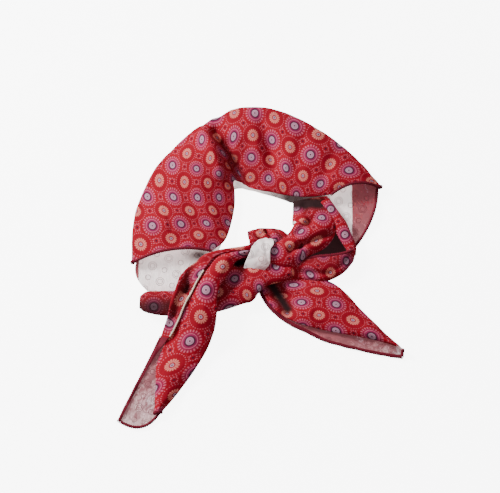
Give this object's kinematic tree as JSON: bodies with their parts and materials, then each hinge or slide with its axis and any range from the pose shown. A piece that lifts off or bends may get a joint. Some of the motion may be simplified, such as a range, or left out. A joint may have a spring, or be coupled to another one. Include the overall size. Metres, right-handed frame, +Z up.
{
  "type": "neckerchief",
  "caption": "Printed cotton neckerchief folded to a strip, tied in front in a loop with a half knot and free ends, lying on a surface.",
  "frame": {"origin": "on the table, under the middle of the whole neckerchief", "axes": "+Z up from the table, +X to the right and +Y towards the back of the neck, as seen from the knot and free ends"},
  "size_m": [0.2194, 0.257, 0.0224],
  "materials": {
    "printed_cotton": "matt printed cotton, bright red with small medallions",
    "cotton_reverse": "matt unprinted reverse of the same cotton, off-white with the print showing through"
  },
  "bodies": {
    "root": {"neck_band": "printed_cotton", "left_roll": "printed_cotton", "right_roll": "printed_cotton", "right_strip": "printed_cotton", "right_pocket": "printed_cotton", "knot_wrap": "cotton_reverse", "knot_tuck": "printed_cotton", "left_tail": "printed_cotton", "right_tail": "printed_cotton"}
  },
  "joints": []
}
